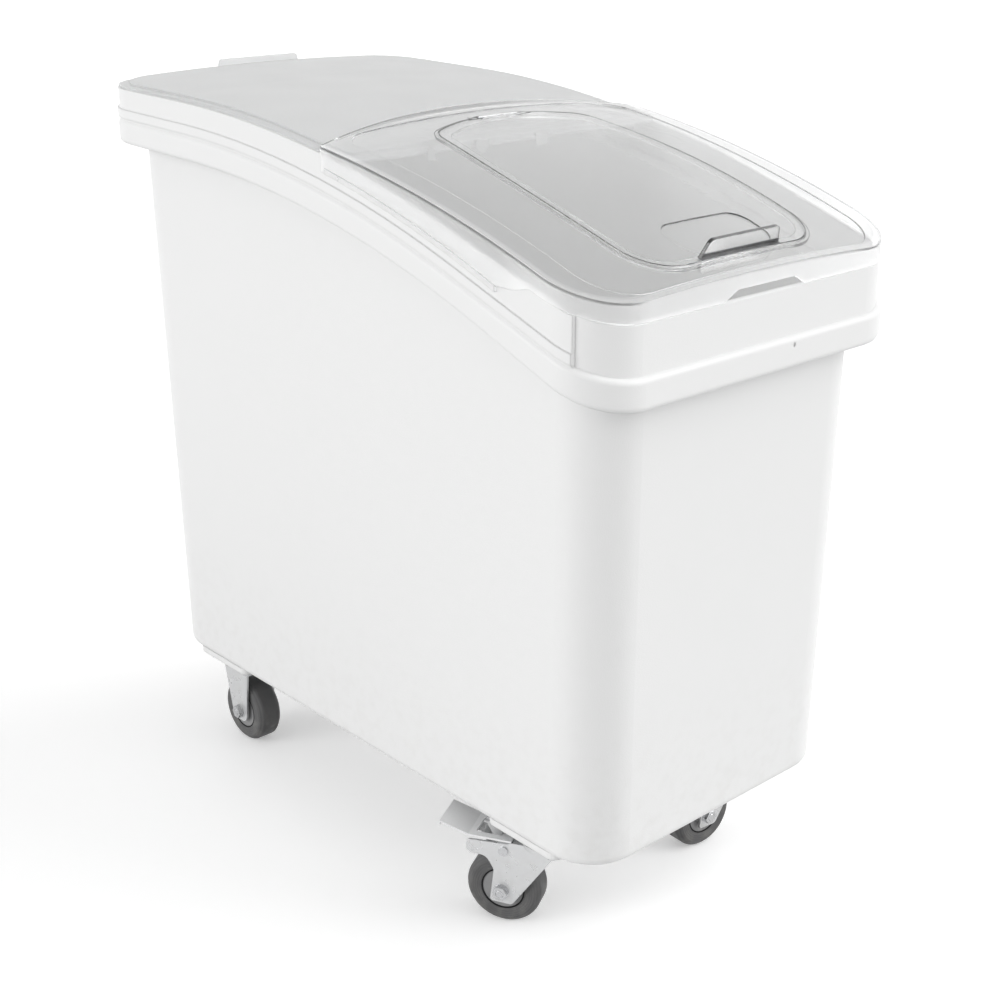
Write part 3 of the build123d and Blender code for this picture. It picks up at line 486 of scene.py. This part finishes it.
# %% Pedal steel
pedal_steel, tree, shader = finish("pedal_steel", Metallic=0.15, Specular_IOR_Level=0.6)
mould = use(tree, mould_texture, Grain_per_metre=1500.0, Waves_per_metre=110.0, Wave_share=0.5)
marks = use(tree, hairlines, Per_metre=90.0, Amount=0.6)
tint(tree, shader, marks.outputs[0], plain=(0.86, 0.865, 0.87), marked=(0.66, 0.66, 0.655))
rough(tree, shader, calc(tree, "ADD", mould.outputs[1], marks.outputs[0]), low=0.26, high=0.5)
bump(tree, shader, mould.outputs[0], depth=0.00004, edge=0.0004)
print("finish:", pedal_steel.name)

# %% [markdown]
# A tyre's side shows the rings that the mould's lathe left. They run round the axle, so the pattern
# needs each wheel's own centre and axle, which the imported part's joints give: take the axle's share
# out of the way from the centre, and what is left is the distance from the axle. A sine of that
# distance is a set of rings. It stays put on the wheel when the wheel turns.

# %% Rings round an axle
patches_per_metre = 60.0

turned_rings, source, sink = pattern_group("turned rings", [("Rings per metre", 420.0)], ["Height", "Tone"])
for label in ("Centre", "Axle"):
    turned_rings.interface.new_socket(label, in_out="INPUT", socket_type="NodeSocketVector")
place = node(turned_rings, "TexCoord").outputs["Object"]
centre, axle = source.outputs[1], source.outputs[2]
away = node(turned_rings, "VectorMath", {0: place, 1: centre}, operation="SUBTRACT").outputs[0]
along = node(turned_rings, "VectorMath", {0: away, 1: axle}, operation="DOT_PRODUCT").outputs["Value"]
length = node(turned_rings, "VectorMath", {0: away}, operation="LENGTH").outputs["Value"]
whole = product(turned_rings, length, length)
lengthwise = product(turned_rings, along, along)
radius = calc(turned_rings, "SQRT", calc(turned_rings, "SUBTRACT", whole, lengthwise))
turns = product(turned_rings, radius, product(turned_rings, source.outputs[0], 2 * math.pi))
wave = calc(turned_rings, "SINE", turns)
patches = node(turned_rings, "TexNoise", {"Vector": place, "Scale": patches_per_metre, "Detail": 3.0})
turned_rings.links.new(wave, sink.inputs[0])
lifted = calc(turned_rings, "ADD", wave, 1.0)
turned_rings.links.new(product(turned_rings, lifted, patches.outputs[0]), sink.inputs[1])
print("pattern:", turned_rings.name)

# %% [markdown]
# The tyre's rubber is a plain mid grey with a fine tooth and a dull sheen. Each tyre gets the same
# rubber round its own axle. The rings show as a low relief and, in patches, as a lighter tone,
# where the floor has rubbed their tops.

# %% Rubber
ring_tone = 0.16
ring_relief = 0.5


def rubber(corner):
    """The tyre's grey rubber, with its rings round the axle of that wheel."""
    joints = frame["record"]["behaviour"]["joints"]
    joint = next(one for one in joints if one["name"] == "wheel_spin_" + corner)
    material, tree, shader = finish("grey_rubber_" + corner, Specular_IOR_Level=0.35)
    mould = use(tree, mould_texture, Grain_per_metre=1600.0, Waves_per_metre=90.0, Wave_share=0.6)
    rings = use(tree, turned_rings, Rings_per_metre=420.0, Centre=joint["pos_m"], Axle=joint["axis"])
    dust = use(tree, low_dust, Height=0.06, Amount=0.7)
    worn = calc(tree, "ADD", dust.outputs[0], product(tree, rings.outputs[1], ring_tone))
    tint(tree, shader, worn, plain=(0.096, 0.096, 0.098), marked=(0.2, 0.195, 0.185))
    rough(tree, shader, mould.outputs[1], low=0.42, high=0.72)
    relief = calc(tree, "ADD", mould.outputs[0], product(tree, rings.outputs[0], ring_relief))
    bump(tree, shader, relief, depth=0.00012, edge=0.001)
    return material


corners = ("front_left", "front_right", "rear_left", "rear_right")
tyre_rubber = {"tyre_" + corner: rubber(corner) for corner in corners}
print("tyres:", ", ".join(tyre_rubber))

# %% [markdown]
# The wheel's core is a harder plastic than its tyre, and a little lighter. A black seal ring sits
# on each side of it, round the axle. It gets almost no gloss, because it lies in the shade of the
# fork, where a sheen would turn it grey.

# %% Hub plastics
grey_plastic, tree, shader = finish("grey_plastic", Specular_IOR_Level=0.45)
mould = use(tree, mould_texture, Grain_per_metre=1200.0, Waves_per_metre=70.0, Wave_share=0.5)
dust = use(tree, low_dust, Height=0.08, Amount=0.5)
tint(tree, shader, dust.outputs[0], plain=(0.25, 0.25, 0.255), marked=(0.4, 0.39, 0.37))
rough(tree, shader, mould.outputs[1], low=0.3, high=0.55)
bump(tree, shader, mould.outputs[0], depth=0.00008, edge=0.0006)
print("finish:", grey_plastic.name)

black_plastic, tree, shader = finish("black_plastic", Specular_IOR_Level=0.12)
mould = use(tree, mould_texture, Grain_per_metre=1500.0, Waves_per_metre=80.0, Wave_share=0.5)
tint(tree, shader, mould.outputs[1], plain=(0.006, 0.006, 0.006), marked=(0.016, 0.016, 0.017))
rough(tree, shader, mould.outputs[1], low=0.3, high=0.6)
bump(tree, shader, mould.outputs[0], depth=0.00006, edge=0.0004)
print("finish:", black_plastic.name)

# %% [markdown]
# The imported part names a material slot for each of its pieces. A table turns the slot into a
# finish. Four kinds of piece get a finish of their own within their slot: tyres, turned
# fasteners, the pedals and the door.

# %% Put the finishes on the solids
finishes = {
    "white_polyethylene": white_polyethylene,
    "frosted_plastic": frosted_plastic,
    "clear_polycarbonate": clear_lid,
    "zinc_steel": zinc_steel,
    "grey_plastic": grey_plastic,
    "black_plastic": black_plastic,
}
turned = ("caster_bolts", "caster_nuts", "axle_bolt", "axle_nut", "kingpin", "pedal_pivot", "door_hinge")
for part in frame["record"]["subparts"]:
    name = part["node"]
    painted = tyre_rubber[name] if name in tyre_rubber else finishes[part["material_slot"]]
    if name.startswith(turned):
        painted = fastener_steel
    if name.startswith("brake_pedal"):
        painted = pedal_steel
    if name == "lid_door":
        painted = clear_door
    nodes[name].data.materials.clear()
    nodes[name].data.materials.append(painted)
used = {nodes[part["node"]].data.materials[0].name for part in frame["record"]["subparts"]}
print("finishes on the solids:", ", ".join(sorted(used)))

# %% [markdown]
# Each swivel head turns on steel balls between two pressed raceways. The solid model closes that
# race with one plain ring; here it gets its balls. They could be sixteen spheres from the Add
# menu, but one mesh is easier to hang on the swivel: one ball is a grid of two angles, and all
# the balls are that grid moved to places round the swivel, worked out as one array.

# %% Mesh of the balls
ball_count = 16
ball_steps = 16
ball_rings = 9


def ball_mesh(name, centre, race_radius, ball_radius):
    """Balls round a vertical axis: the place of ball k is (cos a, sin a) times the race's radius, with
    a = 2 pi k / count; on a ball, a point is its radius times (sin v cos u, sin v sin u, cos v)."""
    u = np.arange(ball_steps) * 2 * np.pi / ball_steps
    v = np.pi * (np.arange(ball_rings) + 1)[:, None] / (ball_rings + 1)
    belt = np.stack(np.broadcast_arrays(np.sin(v) * np.cos(u), np.sin(v) * np.sin(u), np.cos(v)), -1)
    shell = np.concatenate([belt.reshape(-1, 3), [[0, 0, 1], [0, 0, -1]]]) * ball_radius
    turn = np.arange(ball_count) * 2 * np.pi / ball_count
    places = np.stack([race_radius * np.cos(turn), race_radius * np.sin(turn), np.zeros(ball_count)], -1)
    points = (shell[None] + places[:, None] + np.asarray(centre)).reshape(-1, 3)
    column = np.arange(ball_steps)
    beside = (column + 1) % ball_steps
    row = np.arange(ball_rings - 1)[:, None] * ball_steps
    quads = np.stack([row + column, row + ball_steps + column, row + ball_steps + beside, row + beside], -1)
    top = np.full(ball_steps, ball_rings * ball_steps)
    last = (ball_rings - 1) * ball_steps
    caps = [np.stack([top, column, beside], -1), np.stack([top + 1, last + beside, last + column], -1)]
    step = np.arange(ball_count)[:, None, None] * len(shell)
    faces = []
    for part in (quads.reshape(-1, 4), *caps):
        faces += (part[None] + step).reshape(-1, part.shape[-1]).tolist()
    mesh = bpy.data.meshes.new(name)
    mesh.from_pydata(points.tolist(), [], faces)
    mesh.shade_smooth()
    return mesh


print("balls in a head:", ball_count)

# %% [markdown]
# The plain ring's box gives the size: its height is one ball, and its width is the race. The balls
# turn with the fork, so they ride on the swivel's body and take the ring's place.

# %% Balls of the swivel heads
for corner in ("front_left", "front_right"):
    low, high = (np.array(c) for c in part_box("ball_ring_" + corner))
    ball_radius = (high[2] - low[2]) / 2
    race_radius = (high[0] - low[0]) / 2 - ball_radius
    name = "steel_balls_" + corner
    balls = bpy.data.objects.new(name, ball_mesh(name, (low + high) / 2, race_radius, ball_radius))
    bpy.context.scene.collection.objects.link(balls)
    balls.data.materials.append(fastener_steel)
    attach(balls, "swivel_" + corner)
    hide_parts("ball_ring_" + corner)
    print(balls.name, "are", round(2000 * ball_radius, 1), "mm wide")

# %% [markdown]
# The floor is white, and so is everything behind it. White paint takes the bin's soft shadow, and a
# little brightness of its own brings it up to white. Both are there for the rays that see the
# floor: from the camera, in reflections and through the clear lid. The rays that only carry its
# light on to the bin meet a greyer floor, or the bin would be lit from below.

# %% Floor
white_paint = (0.9, 0.9, 0.9, 1.0)
grey_paint = (0.58, 0.58, 0.58, 1.0)
white_light = (1.0, 1.0, 1.0, 1.0)
own_brightness = 0.30


def seen_ray(tree):
    """One for rays from the camera, in reflections and through clear plastic, and nought for others."""
    rays = node(tree, "LightPath").outputs
    return largest(tree, rays["Is Camera Ray"], rays["Is Glossy Ray"], rays["Is Transmission Ray"])


bpy.ops.mesh.primitive_plane_add(size=60.0)
floor = bpy.context.object
floor.name = "floor"
floor_paint = bpy.data.materials.new("floor_paint")
floor_paint.use_nodes = True
tree = floor_paint.node_tree
tree.nodes.remove(tree.nodes["Principled BSDF"])
paint = node(tree, "BsdfDiffuse", {"Color": white_paint})
own = node(tree, "Emission", {"Color": white_light, "Strength": own_brightness})
shown = node(tree, "AddShader", {0: paint.outputs[0], 1: own.outputs[0]})
hidden = node(tree, "BsdfDiffuse", {"Color": grey_paint})
surface = node(tree, "MixShader", {0: seen_ray(tree), 1: hidden.outputs[0], 2: shown.outputs[0]})
tree.links.new(surface.outputs[0], tree.nodes["Material Output"].inputs["Surface"])
floor.data.materials.append(floor_paint)
print("stage:", floor.name)

# %% [markdown]
# The world is the same white for the rays that see it. For all others it is a dimmer, even light
# that fills the shadows, as the walls of a light tent would.

# %% World
ambient_strength = 0.60

world = bpy.data.worlds.new("studio")
bpy.context.scene.world = world
world.use_nodes = True
tree = world.node_tree
backdrop = node(tree, "Background", {"Color": white_light, "Strength": 1.0})
ambient = node(tree, "Background", {"Color": white_light, "Strength": ambient_strength})
mixed = node(tree, "MixShader", {0: seen_ray(tree), 1: ambient.outputs[0], 2: backdrop.outputs[0]})
tree.links.new(mixed.outputs[0], tree.nodes["World Output"].inputs["Surface"])
print("world:", world.name)

# %% [markdown]
# Three soft lamps, all far off, so that the floor is evenly lit out to the horizon: one low on the
# left and a little behind, one in front on the right, and a weaker one high on the right. Each
# covers a wide patch of sky, which leaves shadows without an edge, and the corner that faces the
# camera falls between them.

# %% Lamps
def soft_lamp(name, toward, width, strength):
    """A far lamp in the direction toward, spread over width degrees."""
    lamp = bpy.data.lights.new(name, "SUN")
    lamp.angle = math.radians(width)
    lamp.energy = strength
    made = bpy.data.objects.new(name, lamp)
    bpy.context.scene.collection.objects.link(made)
    made.rotation_euler = (-Vector(toward)).to_track_quat("-Z", "Y").to_euler()
    print("lamp:", name, "over", width, "degrees, strength", strength)


soft_lamp("lamp_left", toward=(-1.0, 0.35, 0.28), width=34.0, strength=1.35)
soft_lamp("lamp_front", toward=(0.8, -1.0, 0.6), width=34.0, strength=1.15)
soft_lamp("lamp_right", toward=(0.9, -0.5, 0.95), width=30.0, strength=0.8)

# %% [markdown]
# The camera stands where the photograph was taken from: a little under a metre up, to the front
# left of the bin, with a longish lens. Its place was worked out from the bin's own edges: the
# flange, the base and the upright corners fix where such a picture can come from.

# %% Camera
view = bpy.data.cameras.new("camera")
view.sensor_width = 36.0
view.lens = 59.089
view.shift_y = -0.00396
camera = bpy.data.objects.new("camera", view)
bpy.context.scene.collection.objects.link(camera)
camera.location = (-1.07726, -1.22741, 0.96795)
look = Vector((0.62670, 0.69275, -0.35686))
camera.rotation_euler = look.to_track_quat("-Z", "Y").to_euler()
bpy.context.scene.camera = camera
bpy.context.scene.view_settings.view_transform = "Standard"
print("camera:", round(camera.location.length, 2), "m from the origin, lens", round(view.lens), "mm")

# %% [markdown]
# Last, the view layer is brought up to date.

# %% Finish
bpy.context.view_layer.update()
